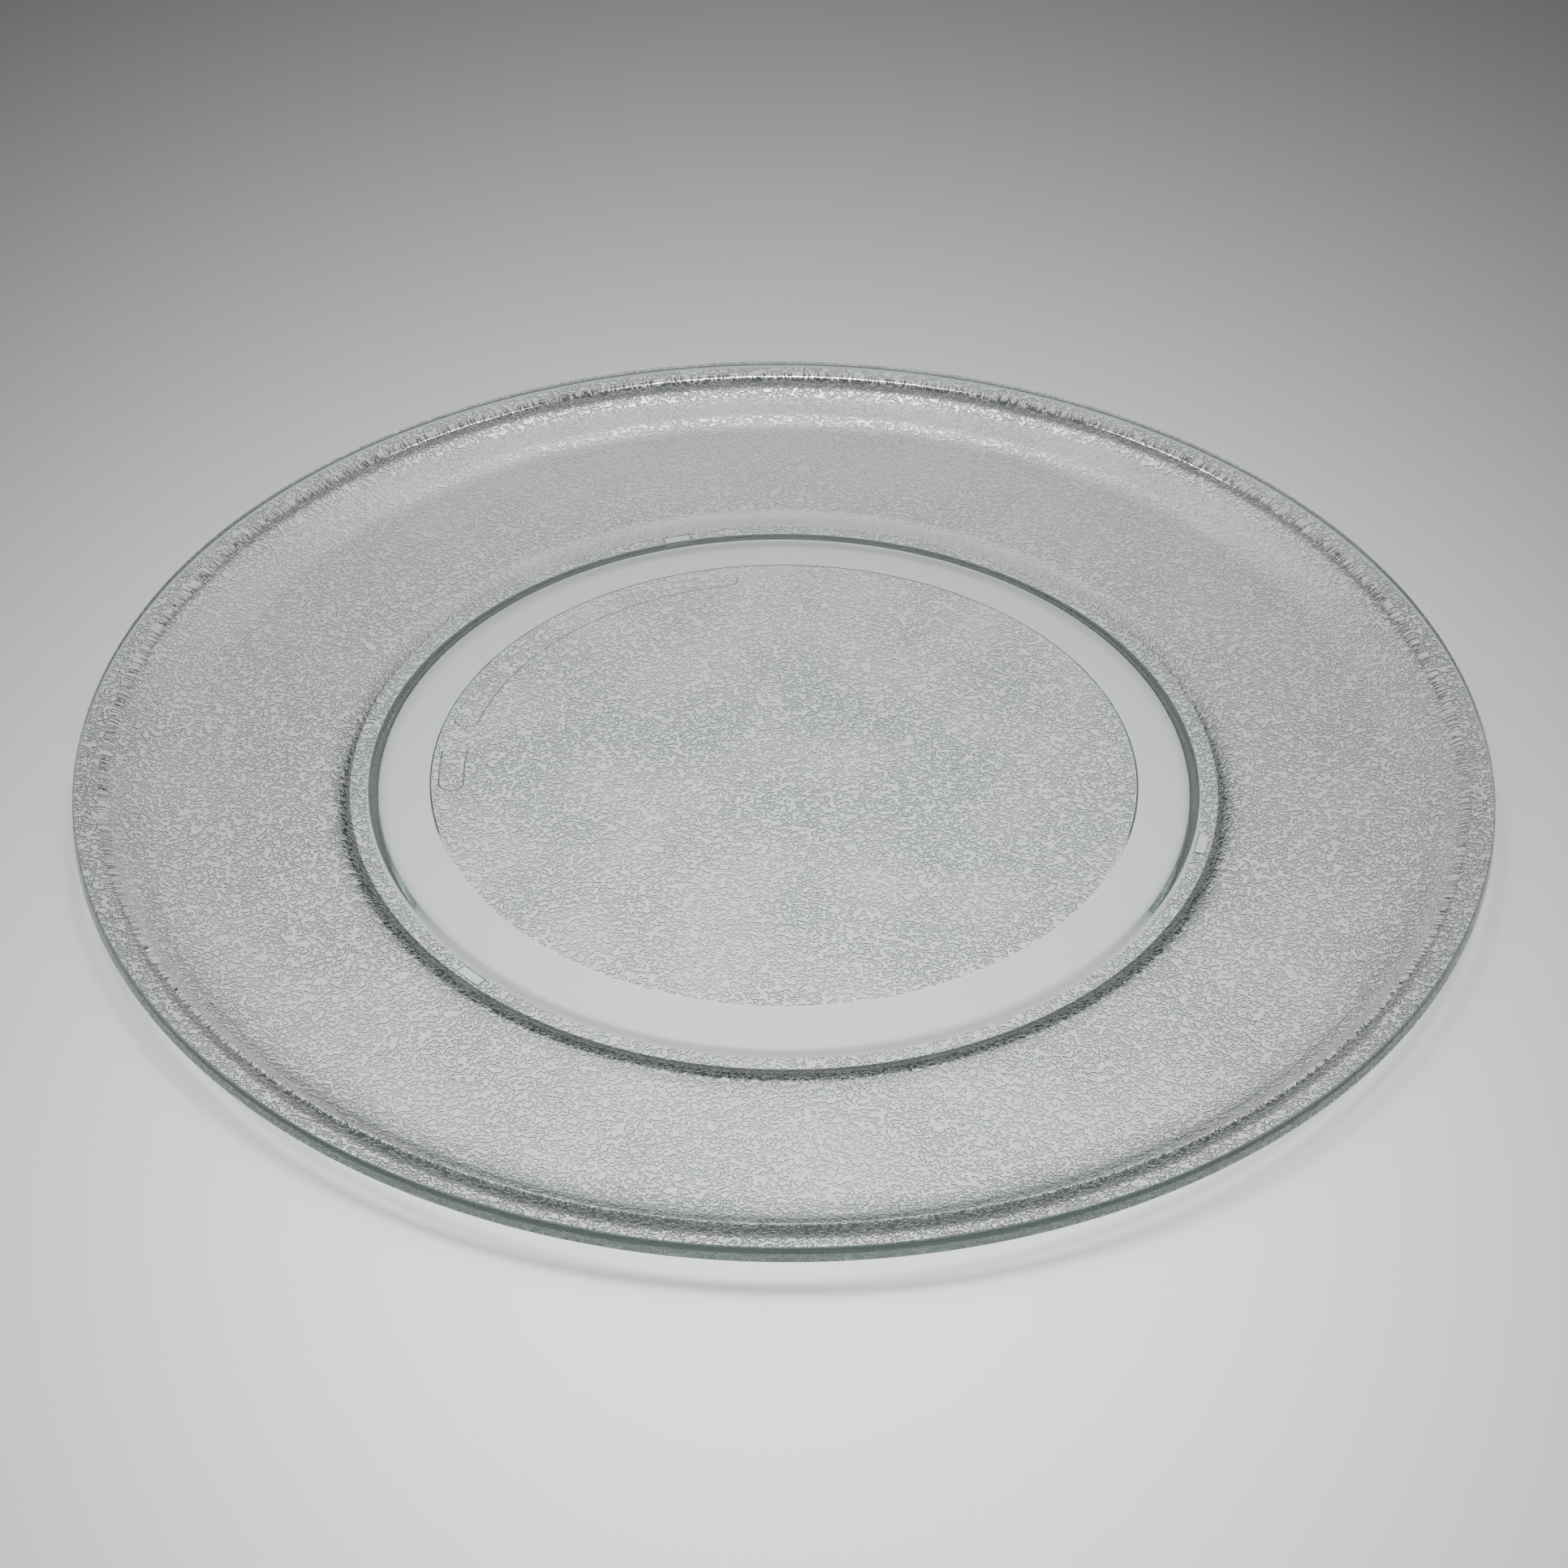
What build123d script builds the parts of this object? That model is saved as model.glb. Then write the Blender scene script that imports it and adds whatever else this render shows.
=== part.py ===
from build123d import *
import os

# Microwave turntable plate: one piece of clear pressed glass.
# The frame stands on the three feet, with +Z up through the plate's centre.
# All sizes are in millimetres.

# Overall size and levels, counted up from the surface that the feet stand on
plate_diameter = 324.0
foot_height = 0.45
ridge_height = 2.7
glass_thickness = 4.8
rim_rise = 5.5

# Rim, above: a gentle sweep, then a steep step up to a flat lip
lip_width = 6.9
lip_inner_round = 2.4
step_run = 4.0
step_rise = 4.08
sweep_run = 4.5
sweep_round = 25.0
edge_draft = 0.5
edge_top_bevel = 0.4

# Rim, below: the lip's underside and one long slope down to the flat glass
lip_thickness = 4.85
lip_under_width = 5.85
lip_under_round = 4.0
slope_run = 12.55
slope_round = 22.0
edge_low_round = 2.4

# Roller track: a smooth ring on the underside that stands a little proud of the pebbled glass
track_inner_radius = 81.4
track_width = 11.7
track_proud = 0.25
track_step_run = 0.35

# Guide ridge round the track: it keeps the rollers in, and the feet stand on its flat land
guide_wall_run = 2.4
ridge_land_width = 4.2
ridge_land_bevel = 0.4
ridge_flank_run = 4.2
ridge_flank_round = 4.5

# Feet: three small blocks on the ridge's land
foot_count = 3
foot_length = 7.0
foot_width = 2.5
foot_inset = 0.7
foot_bevel = 0.2
first_foot_angle = 106.0

# Marking pads: two bare, shallow recesses with round ends, in the pebbled centre beside the track
pad_width = 5.4
pad_depth = 0.15
pad_gap = 1.85
long_pad_start = 101.0
long_pad_sweep = 65.0
short_pad_start = 175.5
short_pad_sweep = 8.5

# Levels worked out from the driving sizes
land_z = foot_height
under_z = land_z + ridge_height
track_z = under_z - track_proud
top_z = under_z + glass_thickness
rim_z = top_z + rim_rise
lip_under_z = rim_z - lip_thickness
step_foot_z = rim_z - step_rise

# Radii worked out from the driving sizes
edge_low_radius = plate_diameter / 2
edge_top_radius = edge_low_radius - edge_draft
lip_inner_radius = edge_top_radius - lip_width
step_foot_radius = lip_inner_radius - step_run
sweep_corner_radius = step_foot_radius - sweep_run
lip_under_radius = edge_low_radius - lip_under_width
slope_low_radius = lip_under_radius - slope_run
track_step_radius = track_inner_radius - track_step_run
guide_top_radius = track_inner_radius + track_width
land_inner_radius = guide_top_radius + guide_wall_run
land_outer_radius = land_inner_radius + ridge_land_width
flank_outer_radius = land_outer_radius + ridge_flank_run
pad_radius = track_step_radius - pad_gap - pad_width / 2


def half_section():
    """Half of the plate's section, as radius and height, with its corners rounded."""
    sweep_corner = (sweep_corner_radius, top_z)
    step_foot = (step_foot_radius, step_foot_z)
    lip_inner = (lip_inner_radius, rim_z)
    edge_top = (edge_top_radius, rim_z)
    edge_low = (edge_low_radius, lip_under_z)
    lip_under = (lip_under_radius, lip_under_z)
    slope_low = (slope_low_radius, under_z)
    flank_outer = (flank_outer_radius, under_z)
    land_outer = (land_outer_radius, land_z)
    land_inner = (land_inner_radius, land_z)
    guide_top = (guide_top_radius, track_z)
    track_inner = (track_inner_radius, track_z)
    track_step = (track_step_radius, under_z)
    outline = Polyline(
        (0, top_z),
        sweep_corner,
        step_foot,
        lip_inner,
        edge_top,
        edge_low,
        lip_under,
        slope_low,
        flank_outer,
        land_outer,
        land_inner,
        guide_top,
        track_inner,
        track_step,
        (0, under_z),
        close=True,
    )
    rounds = [
        (sweep_corner, sweep_round),
        (lip_inner, lip_inner_round),
        (edge_low, edge_low_round),
        (lip_under, lip_under_round),
        (slope_low, slope_round),
        (flank_outer, ridge_flank_round),
    ]
    bevels = [
        (edge_top, edge_top_bevel),
        (land_outer, ridge_land_bevel),
    ]
    section = make_face(outline)
    for corner, radius in rounds:
        vertex = section.vertices().sort_by_distance((*corner, 0))[0]
        section = fillet(vertex, radius)
    for corner, size in bevels:
        vertex = section.vertices().sort_by_distance((*corner, 0))[0]
        section = chamfer(vertex, size)
    return section


def foot_block():
    """One foot at the angle 0, rooted half way up inside the ridge, with its lower edges bevelled."""
    root = ridge_height / 2
    centre_radius = land_inner_radius + foot_inset + foot_width / 2
    block = Box(
        foot_width,
        foot_length,
        foot_height + root,
        align=(Align.CENTER, Align.CENTER, Align.MIN),
    )
    lower_edges = block.faces().sort_by(Axis.Z)[0].edges()
    return Pos(centre_radius, 0, 0) * chamfer(lower_edges, foot_bevel)


def marking_pad(start, sweep):
    """The recess of one marking pad, cut up into the pebbled centre from below."""
    middle = CenterArc((0, 0), pad_radius, start, sweep)
    return Pos(0, 0, under_z) * extrude(SlotArc(middle, pad_width), pad_depth)


def turntable_plate():
    """The whole plate: the turned glass with its feet, less the marking pads."""
    plate = revolve(Plane.XZ * half_section(), Axis.Z)
    for index in range(foot_count):
        angle = first_foot_angle + index * 360 / foot_count
        plate += Rot(0, 0, angle) * foot_block()
    plate -= marking_pad(long_pad_start, long_pad_sweep)
    plate -= marking_pad(short_pad_start, short_pad_sweep)
    return plate


os.makedirs("parts", exist_ok=True)
export_step(turntable_plate(), "parts/turntable_plate.step")
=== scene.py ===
# %% [markdown]
# # A microwave turntable plate in clear pressed glass
# The real plate is one piece of glass, pressed between two moulds. Its top is
# smooth, and its underside has a fine pebble, so the table shows through it
# as a soft crinkle. Nothing is printed or fastened on it: all that the eye
# sees is the shape of the glass. So this lesson spends its time on one good
# section, spun into a plate, and on one good glass.

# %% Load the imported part
import math

import bmesh
import bpy
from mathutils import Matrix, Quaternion, Vector


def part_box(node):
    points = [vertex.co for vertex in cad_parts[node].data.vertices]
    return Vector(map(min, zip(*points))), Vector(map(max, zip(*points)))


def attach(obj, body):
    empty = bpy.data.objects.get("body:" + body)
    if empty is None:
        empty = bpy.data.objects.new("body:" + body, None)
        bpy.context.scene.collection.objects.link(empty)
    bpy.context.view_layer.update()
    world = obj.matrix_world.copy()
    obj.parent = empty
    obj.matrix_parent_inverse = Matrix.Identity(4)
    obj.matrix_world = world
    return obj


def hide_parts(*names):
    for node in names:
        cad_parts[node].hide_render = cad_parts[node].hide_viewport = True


MM = 0.001
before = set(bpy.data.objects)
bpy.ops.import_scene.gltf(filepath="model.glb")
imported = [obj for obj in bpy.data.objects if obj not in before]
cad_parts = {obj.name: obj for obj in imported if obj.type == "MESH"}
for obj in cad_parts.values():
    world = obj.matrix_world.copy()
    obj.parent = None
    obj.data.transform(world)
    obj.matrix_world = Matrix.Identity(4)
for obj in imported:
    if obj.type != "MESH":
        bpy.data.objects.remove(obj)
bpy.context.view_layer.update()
_, plate_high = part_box("turntable_plate")
print(f"the solid plate is {2 * plate_high.x / MM:.1f} mm across and {plate_high.z / MM:.2f} mm high")

# %% [markdown]
# ## The camera
# The ellipses of the rim tell where the photographer stood: a little under a
# metre away, looking down at about 39 degrees. A long lens goes with that,
# and the picture leans by a fraction of a degree. The camera comes first,
# because every later choice is judged through it.

# %% Place the camera
PHOTO_WIDTH_PX = 1932
FOCAL_LENGTH_PX = 5000.0
SENSOR_WIDTH = 36.0
camera_distance = 935.9 * MM
camera_elevation = math.radians(38.69)
camera_roll = math.radians(0.41)
aim = Vector((0.0, -0.7, 2.35)) * MM

sight = Vector((0.0, math.cos(camera_elevation), -math.sin(camera_elevation)))
upright = sight.to_track_quat("-Z", "Y")
leaning = upright @ Quaternion((0.0, 0.0, 1.0), camera_roll)
bpy.ops.object.camera_add(location=aim - camera_distance * sight, rotation=leaning.to_euler())
camera = bpy.context.object
camera.data.sensor_width = SENSOR_WIDTH
camera.data.lens = SENSOR_WIDTH * FOCAL_LENGTH_PX / PHOTO_WIDTH_PX
bpy.context.scene.camera = camera
print(f"camera at {tuple(round(c, 3) for c in camera.location)}, lens {camera.data.lens:.1f} mm")

# %% [markdown]
# ## The section
# A pressed plate is the same all the way round, so half of its section says
# almost everything. The top is flat, rises in a gentle sweep and a steep step,
# and ends in a flat lip. Below, a ridge goes round a smooth track: the oven's
# rollers run on the track, and the ridge keeps them in. The sizes are in
# millimetres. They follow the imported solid, with a few more small rounds and
# a tighter ridge, because glass shows every corner by the light that it bends.

# %% Name the section's sizes
foot_height = 0.45
ridge_height = 2.7
glass_thickness = 4.8
rim_rise = 5.5
lip_width, lip_thickness = 6.9, 4.85
step_run, step_rise = 4.0, 4.08
sweep_run = 4.5
edge_draft = 0.5
lip_under_width, slope_under_run = 5.85, 12.55
track_inner, track_width, track_proud = 81.4, 11.7, 0.25
track_step_run = 0.35
wall_run, land_width, flank_run = 2.4, 4.2, 2.5
foot_width, foot_inset = 2.5, 0.7

sweep_round, lip_inner_round = 25.0, 2.4
edge_top_round, edge_low_round = 0.5, 1.0
lip_slant, lip_under_round, slope_under_round = 0.8, 4.0, 22.0
flank_round, land_outer_round = 7.5, 0.8
land_inner_round, guide_round = 1.6, 2.5
print(f"the glass is {glass_thickness} mm thick and its rim rises by {rim_rise} mm")

# %% [markdown]
# ## Its corners
# Each corner is written as radius, height and round, in the order in which a
# pencil would go: along the top, round the rim and back along the underside.
# The two sharp corners on the land mark where the feet will be.

# %% Work out the section's corners
edge_radius = 162.0
under = foot_height + ridge_height
track = under - track_proud
top = under + glass_thickness
rim = top + rim_rise
lip_under = rim - lip_thickness
edge_top = edge_radius - edge_draft
lip_inner = edge_top - lip_width
step_foot = lip_inner - step_run
sweep_corner = step_foot - sweep_run
lip_under_inner = edge_radius - lip_under_width
track_step = track_inner - track_step_run
guide_top = track_inner + track_width
land_inner = guide_top + wall_run
land_outer = land_inner + land_width
foot_inner = land_inner + foot_inset

section = [
    (0.0, top, 0.0),
    (sweep_corner, top, sweep_round),
    (step_foot, rim - step_rise, 0.0),
    (lip_inner, rim, lip_inner_round),
    (edge_top, rim, edge_top_round),
    (edge_radius, lip_under + lip_slant, edge_low_round),
    (lip_under_inner, lip_under, lip_under_round),
    (lip_under_inner - slope_under_run, under, slope_under_round),
    (land_outer + flank_run, under, flank_round),
    (land_outer, foot_height, land_outer_round),
    (foot_inner + foot_width, foot_height, 0.0),
    (foot_inner, foot_height, 0.0),
    (land_inner, foot_height, land_inner_round),
    (guide_top, track, guide_round),
    (track_inner, track, 0.0),
    (track_step, under, 0.0),
    (0.0, under, 0.0),
]
print(f"the section has {len(section)} corners and is {rim:.2f} mm high")

# %% [markdown]
# ## Drawing the section
# A section could be typed in as a list of many points. Here it is drawn as a
# modeller would: one point is pulled along from corner to corner. A plane is
# the nearest primitive, so a plane is added on the axis and merged into one
# point, and each extrude leaves an edge behind.

# %% Pull one point round the section
def edit(piece, select="DESELECT"):
    """Make a piece the only selected one and enter edit mode."""
    bpy.ops.object.select_all(action="DESELECT")
    piece.select_set(True)
    bpy.context.view_layer.objects.active = piece
    bpy.ops.object.mode_set(mode="EDIT")
    bpy.ops.mesh.select_all(action=select)


def leave_edit():
    """Go back to object mode."""
    bpy.ops.object.mode_set(mode="OBJECT")


bpy.ops.object.select_all(action="DESELECT")
bpy.ops.mesh.primitive_plane_add(size=1 * MM, location=(0.0, 0.0, top * MM))
plate = bpy.context.object
plate.name = plate.data.name = "glass_plate"
bpy.ops.object.transform_apply(location=True)
edit(plate, "SELECT")
bpy.ops.mesh.merge(type="CENTER")
for (radius, height, _), (next_radius, next_height, _) in zip(section, section[1:]):
    step = Vector((next_radius - radius, 0.0, next_height - height)) * MM
    bpy.ops.mesh.extrude_region_move(TRANSFORM_OT_translate={"value": step})
leave_edit()
print(f"the outline has {len(plate.data.edges)} straight edges")

# %% [markdown]
# ## Rounding its corners
# Hot glass doesn't fill a mould into sharp corners. A bevel on a vertex cuts
# each corner back along its two edges, and the cut is worked out from the
# radius of the round and the angle between the edges.

# %% Round the corners
ROUND_SEGMENTS = 8


def corner_cut(before, corner, after, radius):
    """How far back along its edges a corner is cut to get a round of that radius."""
    arm_in = Vector((before[0] - corner[0], before[1] - corner[1]))
    arm_out = Vector((after[0] - corner[0], after[1] - corner[1]))
    return radius / math.tan(arm_in.angle(arm_out) / 2)


for before, corner, after in zip(section, section[1:], section[2:]):
    if corner[2] == 0.0:
        continue
    edit(plate)
    mesh = bmesh.from_edit_mesh(plate.data)
    place = Vector((corner[0], 0.0, corner[1])) * MM
    nearest = min(mesh.verts, key=lambda vertex: (vertex.co - place).length)
    nearest.select_set(True)
    bmesh.update_edit_mesh(plate.data)
    bpy.ops.mesh.bevel(
        offset=corner_cut(before, corner, after, corner[2]) * MM,
        segments=ROUND_SEGMENTS,
        affect="VERTICES",
    )
    leave_edit()
print(f"the rounded outline has {len(plate.data.vertices)} points")

# %% [markdown]
# ## Spinning the plate
# The outline goes once round the axis. Spin leaves a seam and a heap of
# points at each pole, so doubles are merged, and only then are the normals
# turned outwards.

# %% Spin the section once round
SPIN_STEPS = 360

edit(plate, "SELECT")
bpy.ops.mesh.spin(steps=SPIN_STEPS, angle=2 * math.pi, center=(0.0, 0.0, 0.0), axis=(0.0, 0.0, 1.0))
bpy.ops.mesh.select_all(action="SELECT")
bpy.ops.mesh.remove_doubles(threshold=0.001 * MM)
bpy.ops.mesh.normals_make_consistent(inside=False)
leave_edit()
print(f"the plate has {len(plate.data.polygons)} faces")

# %% [markdown]
# ## Three feet
# When the plate is set down on a table it stands on three small blocks on the
# ridge. The spin has left a ring of faces just where they go, so the feet are
# a few of those faces, pulled down and rounded at their lower edge.

# %% Pull down the feet
FOOT_ANGLES = [math.radians(106 + turn) for turn in (0, 120, 240)]
foot_half_angle = math.radians(2.0)
foot_round = 0.2


def on_foot(place):
    """True for a place within the angle of one of the feet."""
    bearing = math.atan2(place.y, place.x)
    return any(
        abs(math.remainder(bearing - angle, 2 * math.pi)) < foot_half_angle
        for angle in FOOT_ANGLES
    )


def pick_faces(piece, wanted):
    """Select the faces of a piece in edit mode whose middle is wanted."""
    bpy.ops.mesh.select_mode(type="FACE")
    mesh = bmesh.from_edit_mesh(piece.data)
    picked = [face for face in mesh.faces if wanted(face.calc_center_median())]
    for face in picked:
        face.select_set(True)
    bmesh.update_edit_mesh(piece.data)
    return len(picked)


def foot_face(place):
    """True for a face of the land that a foot stands on."""
    radius = place.xy.length / MM
    on_land = foot_inner < radius < foot_inner + foot_width and place.z < under * MM
    return on_land and on_foot(place)


edit(plate)
foot_faces = pick_faces(plate, foot_face)
bpy.ops.mesh.extrude_region_move(TRANSFORM_OT_translate={"value": (0.0, 0.0, -foot_height * MM)})
bpy.ops.mesh.region_to_loop()
bpy.ops.mesh.bevel(offset=foot_round * MM, segments=3, affect="EDGES")
leave_edit()
print(f"{foot_faces} faces were pulled down into feet")

# %% [markdown]
# ## Two low pads
# Inside the track two plain pads with round ends stand a fifth of a millimetre
# proud of the underside. Each starts as a plane on edge. Its upper side is
# widened, so that the pad's flanks slope and leave the mould easily, and the
# plane is spun through the pad's sweep. A cone with the same slope makes each
# round end, and a boolean joins the block to the plate.

# %% Raise the pads
pad_width, pad_depth, pad_gap = 5.4, 0.2, 1.85
PAD_SWEEPS = [(101.0, 65.0), (175.5, 8.5)]
pad_radius = track_step - pad_gap - pad_width / 2
pad_root, pad_flare = 2.7, 3.8
PAD_END_SIDES = 48
pad_middle = under - pad_depth + pad_root / 2


def pad_place(angle):
    """The middle of a pad's block at an angle round the plate."""
    return Vector((pad_radius * math.cos(angle), pad_radius * math.sin(angle), pad_middle)) * MM


def join(piece, block):
    """Join a block to a piece with a boolean and delete the block."""
    bpy.ops.object.select_all(action="DESELECT")
    bpy.context.view_layer.objects.active = piece
    union = piece.modifiers.new("union", "BOOLEAN")
    union.operation, union.object, union.solver = "UNION", block, "EXACT"
    bpy.ops.object.modifier_apply(modifier=union.name)
    bpy.data.objects.remove(block)


def pad_block(start, sweep):
    """The solid of one pad: an arc with two round ends, rooted in the glass."""
    bpy.ops.object.select_all(action="DESELECT")
    bpy.ops.mesh.primitive_plane_add(
        size=pad_width * MM, location=pad_place(start), rotation=(math.pi / 2, 0.0, start)
    )
    arc = bpy.context.object
    arc.scale.y = pad_root / pad_width
    bpy.ops.object.transform_apply()
    edit(arc)
    mesh = bmesh.from_edit_mesh(arc.data)
    for vertex in mesh.verts:
        vertex.select_set(vertex.co.z > pad_middle * MM)
    bmesh.update_edit_mesh(arc.data)
    widen = 1 + 2 * pad_flare / pad_width
    bpy.ops.transform.resize(value=(widen, widen, 1.0), center_override=pad_place(start))
    bpy.ops.mesh.select_all(action="SELECT")
    steps = max(4, round(math.degrees(sweep)))
    bpy.ops.mesh.spin(steps=steps, angle=-sweep, center=(0.0, 0.0, 0.0), axis=(0.0, 0.0, 1.0))
    bpy.ops.mesh.select_all(action="SELECT")
    bpy.ops.mesh.normals_make_consistent(inside=False)
    leave_edit()
    for angle in (start, start + sweep):
        bpy.ops.mesh.primitive_cone_add(
            vertices=PAD_END_SIDES,
            radius1=pad_width / 2 * MM,
            radius2=(pad_width / 2 + pad_flare) * MM,
            depth=pad_root * MM,
            location=pad_place(angle),
        )
        join(arc, bpy.context.object)
    return arc


for start, sweep in PAD_SWEEPS:
    join(plate, pad_block(math.radians(start), math.radians(sweep)))
print(f"the plate has {len(plate.data.polygons)} faces with its pads")

# %% [markdown]
# ## Smooth shading
# Glass shows every flaw of its normals. Faces are smooth except across sharp
# corners, and weighted normals let the large flat faces keep one direction,
# so that the rounds beside them don't bend their reflections.

# %% Shade the plate
bpy.ops.object.select_all(action="DESELECT")
plate.select_set(True)
bpy.context.view_layer.objects.active = plate
bpy.ops.object.shade_smooth_by_angle(angle=math.radians(20))
weighted = plate.modifiers.new("weighted", "WEIGHTED_NORMAL")
weighted.keep_sharp = True
weighted.weight = 100
bpy.ops.object.modifier_apply(modifier=weighted.name)
print(f"the plate has {sum(len(f.vertices) - 2 for f in plate.data.polygons)} triangles")

# %% [markdown]
# ## Where the pebble is
# The mould's lower half is pebbled all over, but for the track, the ridge's
# inner wall and the feet. A mask finds these places from the distance to the
# axis and from the height, both taken from Object coordinates. The top and
# the underside lie at the same radii, so a parting height that rises with
# the rim keeps the pebble off the polished top.

# %% Start the glass with a mask for its pebble
glass = bpy.data.materials.new("pressed_glass")
glass.use_nodes = True
tree = glass.node_tree


def add_node(kind, *feeds, **settings):
    """Add a node to the tree, with links or numbers for its first inputs."""
    made = tree.nodes.new(kind)
    for name, value in settings.items():
        setattr(made, name, value)
    for socket, feed in zip(made.inputs, feeds):
        if isinstance(feed, bpy.types.NodeSocket):
            tree.links.new(feed, socket)
        else:
            socket.default_value = feed
    return made


def calculate(operation, *feeds):
    """The result of a Math node."""
    return add_node("ShaderNodeMath", *feeds, operation=operation).outputs["Value"]


def ramp(feed, start, end, low=0.0, high=1.0):
    """A number that goes from low to high as the feed goes from start to end."""
    return add_node("ShaderNodeMapRange", feed, start, end, low, high).outputs["Result"]


place = add_node("ShaderNodeTexCoord").outputs["Object"]
axes = add_node("ShaderNodeSeparateXYZ", place).outputs
flat = add_node("ShaderNodeVectorMath", place, (1.0, 1.0, 0.0), operation="MULTIPLY").outputs["Vector"]
radius = add_node("ShaderNodeVectorMath", flat, operation="LENGTH").outputs["Value"]
height = axes["Z"]

parting = ramp(radius, 143 * MM, 154 * MM, 5.5 * MM, 10.0 * MM)
off_edge = ramp(radius, 161.4 * MM, 161.0 * MM)
below = calculate("MULTIPLY", calculate("LESS_THAN", height, parting), off_edge)
outside = ramp(radius, (land_inner + 0.1) * MM, (land_inner + 0.7) * MM)
inside = ramp(radius, track_step * MM, (track_step - 0.2) * MM)
off_feet = ramp(height, (foot_height - 0.15) * MM, (foot_height - 0.05) * MM)
off_track = calculate("MAXIMUM", outside, inside)
pebbled = calculate("MULTIPLY", off_track, calculate("MULTIPLY", below, off_feet))
print(f"the mask takes {len(tree.nodes)} nodes")

# %% [markdown]
# ## The pebble
# Up close the pebble is a crinkle of soft swells with thin creases between
# them, a little over a millimetre apart. Modelled as faces it would need
# millions of them, so it is a bump on the normal. The slope decides the look:
# where a crease is steep, light can't leave the glass downwards, and the eye
# sees a short dark stroke. One noise gives both: its height is the swell, and
# the creases run where it crosses a fixed level.

# %% Give the glass its pebble
PEBBLE_SCALE = 840.0
PEBBLE_DETAIL = 2.0
SWELL_DEPTH = 0.12 * MM
CREASE_DEPTH = 0.098 * MM
CREASE_WIDTH = 0.09
CREASE_LEVEL = 0.54

crinkle = add_node("ShaderNodeTexNoise", place)
crinkle.inputs["Scale"].default_value = PEBBLE_SCALE
crinkle.inputs["Detail"].default_value = PEBBLE_DETAIL
swell = calculate("SUBTRACT", crinkle.outputs["Fac"], CREASE_LEVEL)
off_level = calculate("ABSOLUTE", swell)
crease = add_node(
    "ShaderNodeMapRange", off_level, 0.0, CREASE_WIDTH, 1.0, 0.0, interpolation_type="SMOOTHSTEP"
).outputs["Result"]
creases = calculate("MULTIPLY", crease, CREASE_DEPTH)
bumps = calculate("ADD", calculate("MULTIPLY", swell, SWELL_DEPTH), creases)
print(f"the bumps are about {1 / PEBBLE_SCALE / MM:.1f} mm apart")

# %% [markdown]
# ## How deep the pebble is
# The pebble doesn't look equally strong all over. Its strokes come and go in
# patches, are weaker towards the front and the back, and are strongest under
# the lip, so its depth is varied to suit. The Bump node's Distance takes that
# depth, and the noise itself stays simple and quick to render.

# %% Set the pebble's depth
PATCH_SCALE = 40.0

patches = add_node("ShaderNodeTexNoise", place)
patches.inputs["Scale"].default_value = PATCH_SCALE
patches.inputs["Detail"].default_value = 0.0
press = ramp(patches.outputs["Fac"], 0.35, 0.65, ramp(inside, 0.0, 1.0, 0.85, 0.7), 1.1)
RIM_DEPTH = 0.65
rim_slope = ramp(radius, 138 * MM, 142 * MM, 0.0, RIM_DEPTH)
depth = calculate("MAXIMUM", ramp(axes["Y"], 20 * MM, 120 * MM, 1.05, 0.55), rim_slope)
depth = calculate("MULTIPLY", depth, ramp(axes["Y"], -120 * MM, 0.0, 0.7, 1.0))
depth = calculate("ADD", depth, ramp(radius, 155 * MM, 156.5 * MM, 0.0, 0.5))
depth = calculate("MULTIPLY", depth, ramp(inside, 0.0, 1.0, 1.0, 0.85))
relief = calculate("MULTIPLY", calculate("MULTIPLY", press, depth), pebbled)
bump = add_node("ShaderNodeBump")
bump.inputs["Strength"].default_value = 1.0
tree.links.new(relief, bump.inputs["Distance"])
tree.links.new(bumps, bump.inputs["Height"])
print(f"the glass has {len(tree.nodes)} nodes with its pebble")

# %% [markdown]
# ## The glass
# Clear glass has almost no colour of its own, but it holds a little iron: the
# further light goes through it, the greener and darker it gets. That is an
# absorption in its volume, so the flat middle stays clear and the rim, seen
# edge on, turns green. The outer edge gets a tint of its own besides, and the
# pebbled slope under the rim is a little rough, which makes it look frosted.

# %% Make it clear glass
CLEAR = (1.0, 1.0, 1.0, 1.0)
EDGE_GREEN = (0.72, 0.88, 0.78, 1.0)
DEEP_GREEN = (0.78, 0.88, 0.83, 1.0)
GREEN_DENSITY = 20.0
FROST = 0.14

shader = tree.nodes["Principled BSDF"]
edge = ramp(radius, 161.0 * MM, 161.3 * MM)
edge_colour = add_node("ShaderNodeMix", edge, data_type="RGBA")
edge_colour.inputs["A"].default_value = CLEAR
edge_colour.inputs["B"].default_value = EDGE_GREEN
tree.links.new(edge_colour.outputs["Result"], shader.inputs["Base Color"])
frost = calculate("MULTIPLY", rim_slope, pebbled)
tree.links.new(ramp(frost, 0.0, RIM_DEPTH, 0.0, FROST), shader.inputs["Roughness"])
shader.inputs["IOR"].default_value = 1.52
shader.inputs["Transmission Weight"].default_value = 1.0
tree.links.new(bump.outputs["Normal"], shader.inputs["Normal"])
tint = add_node("ShaderNodeVolumeAbsorption", DEEP_GREEN, GREEN_DENSITY)
output = tree.nodes["Material Output"]
tree.links.new(tint.outputs["Volume"], output.inputs["Volume"])
print(f"the edge is tinted {EDGE_GREEN[:3]}")

# %% [markdown]
# ## Light through the glass
# A renderer finds it hard to follow light from a lamp through glass to the
# table, and a glass plate would throw a black shadow. So for light on its way
# to the table the glass is a plain see-through sheet that takes a little of
# it. Three rings take more, because their slopes bend light away from the
# table: under the lip, at the ridge's inner wall and at its outer flank.

# %% Let the light through
CLEAR_SHARE = 0.98


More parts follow.
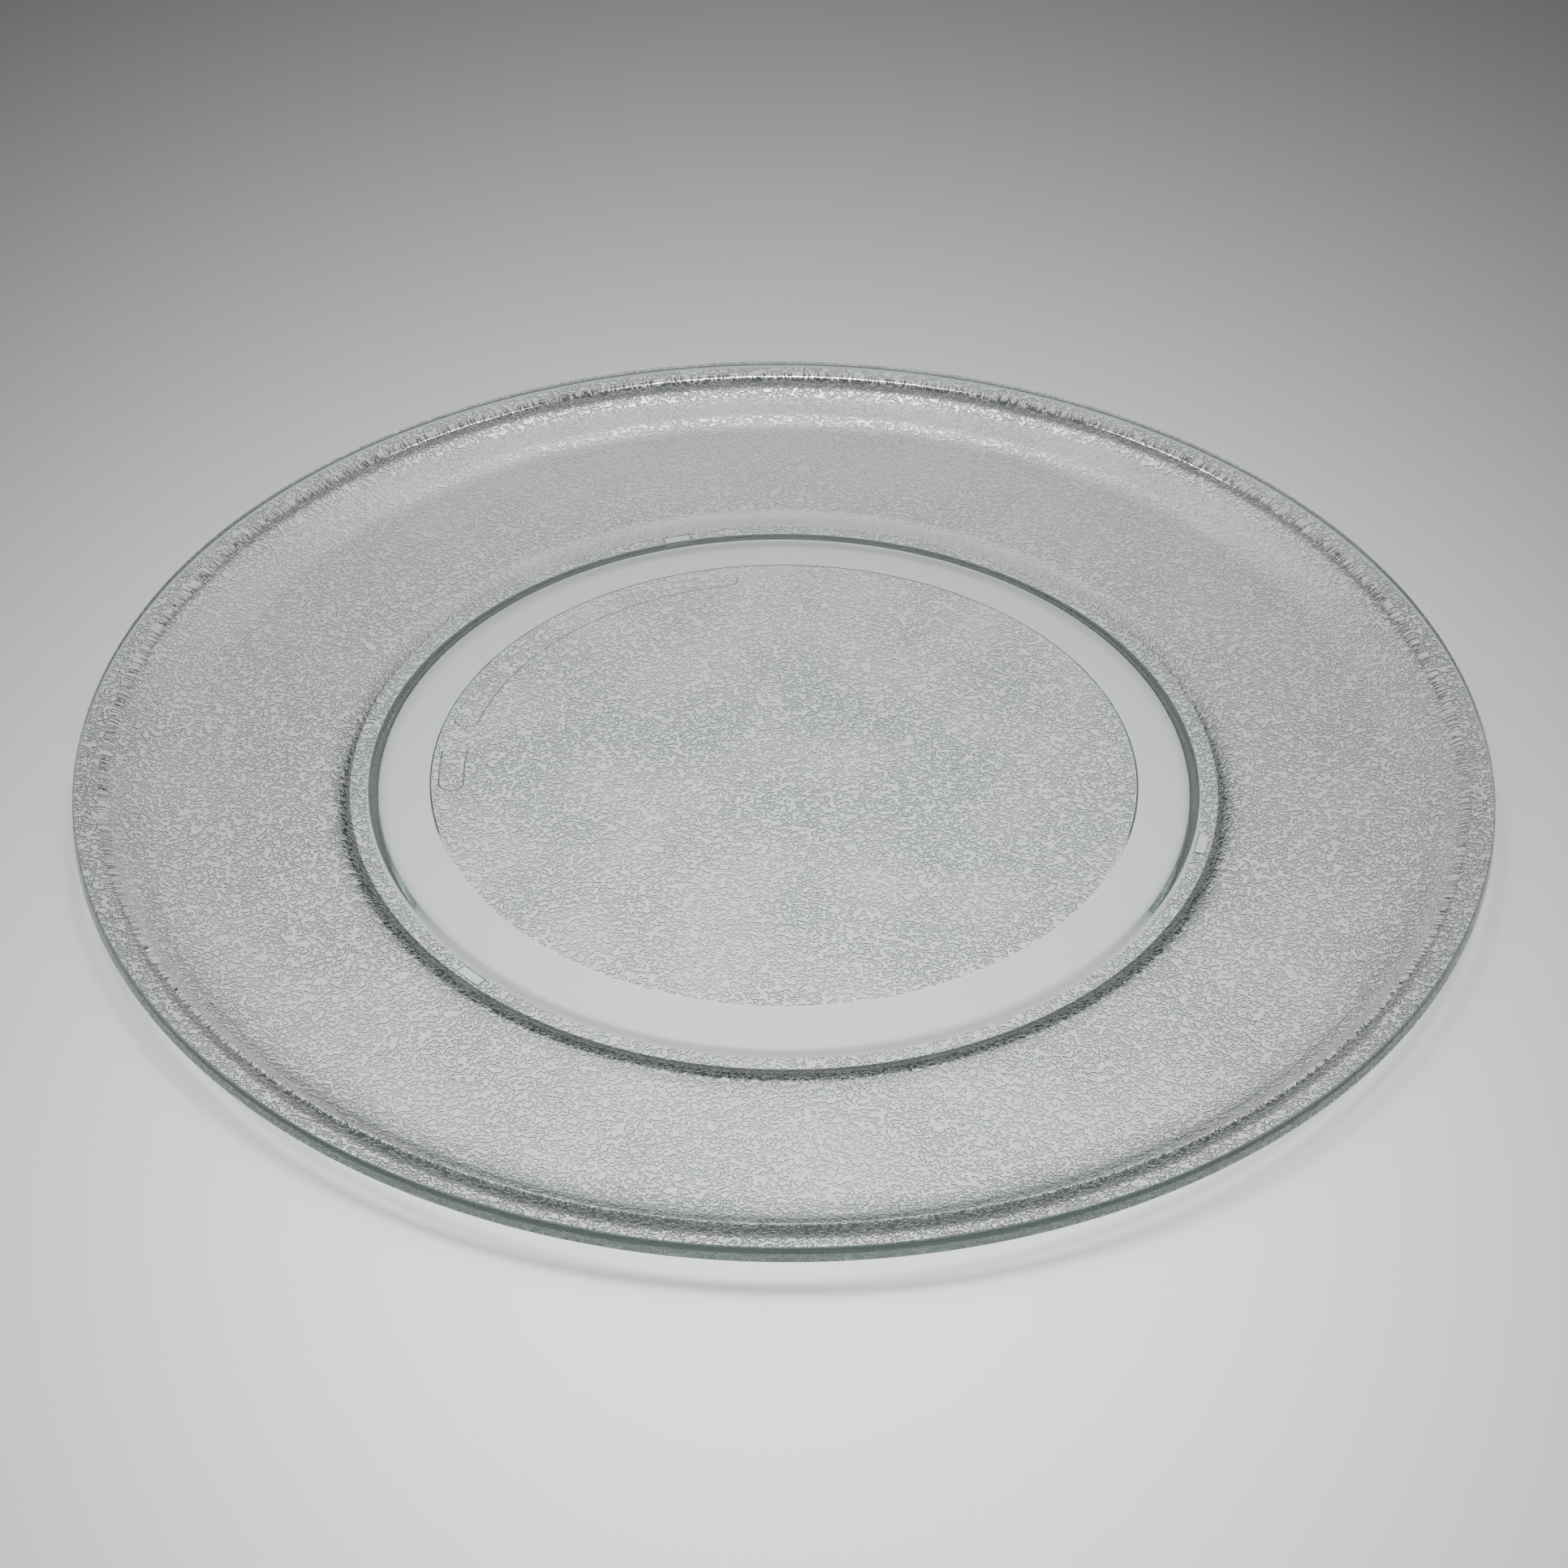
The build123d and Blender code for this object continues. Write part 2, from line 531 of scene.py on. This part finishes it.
def ring(inner, outer, soft):
    """A mask for a ring of the plate, with soft sides."""
    off_middle = calculate("ABSOLUTE", calculate("SUBTRACT", radius, (inner + outer) / 2 * MM))
    half = (outer - inner) / 2
    return ramp(off_middle, (half + soft) * MM, (half - soft) * MM)


lip_gap = calculate("MULTIPLY", ring(156.9, 158.7, 0.3), ramp(axes["Y"], 60 * MM, 0.0))
wall_ring = ring(93.1, 95.5, 0.3)
flank_ring = ring(99.7, 103.9, 0.8)
dim = 0.0
for mask, share in [(lip_gap, 0.45), (wall_ring, 0.2), (flank_ring, 0.1)]:
    dim = calculate("MULTIPLY_ADD", mask, share, dim)
passing = calculate("SUBTRACT", CLEAR_SHARE, calculate("MULTIPLY", dim, below))
clear = add_node("ShaderNodeBsdfTransparent", passing)
rays = add_node("ShaderNodeLightPath").outputs
lighting = calculate("MAXIMUM", rays["Is Shadow Ray"], rays["Is Diffuse Ray"])
surface = add_node("ShaderNodeMixShader", lighting, shader.outputs["BSDF"], clear.outputs["BSDF"])
tree.links.new(surface.outputs["Shader"], output.inputs["Surface"])
plate.data.materials.clear()
plate.data.materials.append(glass)
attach(plate, "root")
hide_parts("turntable_plate")
print(f"the glass has {len(tree.nodes)} nodes")

# %% [markdown]
# ## The table
# The plate lies on a plain pale table. A pool of light is painted into its
# colour: bright in front, with painted shade towards the back and the sides.
# Glass shows what is under and behind it, so this painted light is part of
# the plate's look as well. Far out the table keeps one even grey.

# %% Lay the table
TABLE_SIZE = 8.0
LIGHT_POOL_WIDTH, LIGHT_POOL_LENGTH, LIGHT_POOL_FORWARD = 0.24, 0.355, 0.15
LIGHT_POOL_END = 0.19
FAR_GREY, NEAR_GREY = 0.166, 0.79

bpy.ops.object.select_all(action="DESELECT")
bpy.ops.mesh.primitive_plane_add(size=TABLE_SIZE)
table = bpy.context.object
table.name = table.data.name = "pale_table"
paper = bpy.data.materials.new("pale_paper_painted_light_pool")
paper.use_nodes = True
tree = paper.node_tree
place = add_node("ShaderNodeTexCoord").outputs["Object"]
axes = add_node("ShaderNodeSeparateXYZ", place).outputs
# Painted light: the table's colour is a bright pool in front, painted darker towards the back and the
# sides, down to an even grey far out.
sideways = calculate("POWER", calculate("DIVIDE", axes["X"], LIGHT_POOL_WIDTH), 2.0)
from_middle = calculate("ADD", axes["Y"], LIGHT_POOL_FORWARD)
lengthways = calculate("POWER", calculate("DIVIDE", from_middle, LIGHT_POOL_LENGTH), 2.0)
spread = calculate("ADD", sideways, lengthways)
painted_light_pool = calculate("EXPONENT", calculate("MULTIPLY", spread, -0.5))
shade = ramp(painted_light_pool, LIGHT_POOL_END, 1.0, FAR_GREY, NEAR_GREY)
shader = tree.nodes["Principled BSDF"]
shader.inputs["Roughness"].default_value = 0.9
shader.inputs["Specular IOR Level"].default_value = 0.0
tree.links.new(shade, shader.inputs["Base Color"])
table.data.materials.append(paper)
print("the table is laid")

# %% [markdown]
# ## The light
# Three round soft lamps hang over the table, to the left, to the right and a
# little behind. The plate's shadow shows them: a thin ring just outside the
# rim on both sides and in front. The polished top mirrors the lamps, but rays
# that come out of the glass from inside don't see them, because each bump of
# the pebble would show a white speck. Light that runs round inside the rim is
# followed for six reflections, where Blender's four leave black bands.

# %% Hang the lamps
LAMP_SIZE = 0.4
LAMP_POWER = 4.35
WORLD_GREY = (0.22, 0.22, 0.22, 1.0)
REFLECTIONS = 6
LAMP_PLACES = {
    "left_lamp": (-0.66, 0.1, 1.1),
    "right_lamp": (0.6, 0.0, 1.18),
    "back_lamp": (0.0, 0.25, 1.25),
}
for name, place in LAMP_PLACES.items():
    facing = (-Vector(place)).to_track_quat("-Z", "Y").to_euler()
    bpy.ops.object.light_add(type="AREA", location=place, rotation=facing)
    lamp = bpy.context.object
    lamp.name = name
    lamp.data.shape = "DISK"
    lamp.data.size = LAMP_SIZE
    lamp.data.energy = LAMP_POWER
    lamp.visible_transmission = False
world = bpy.data.worlds.new("studio")
bpy.context.scene.world = world
world.use_nodes = True
world.node_tree.nodes["Background"].inputs["Color"].default_value = WORLD_GREY
bpy.context.scene.view_settings.view_transform = "Standard"
bpy.context.scene.cycles.glossy_bounces = REFLECTIONS
print(f"{len(LAMP_PLACES)} lamps are lit")
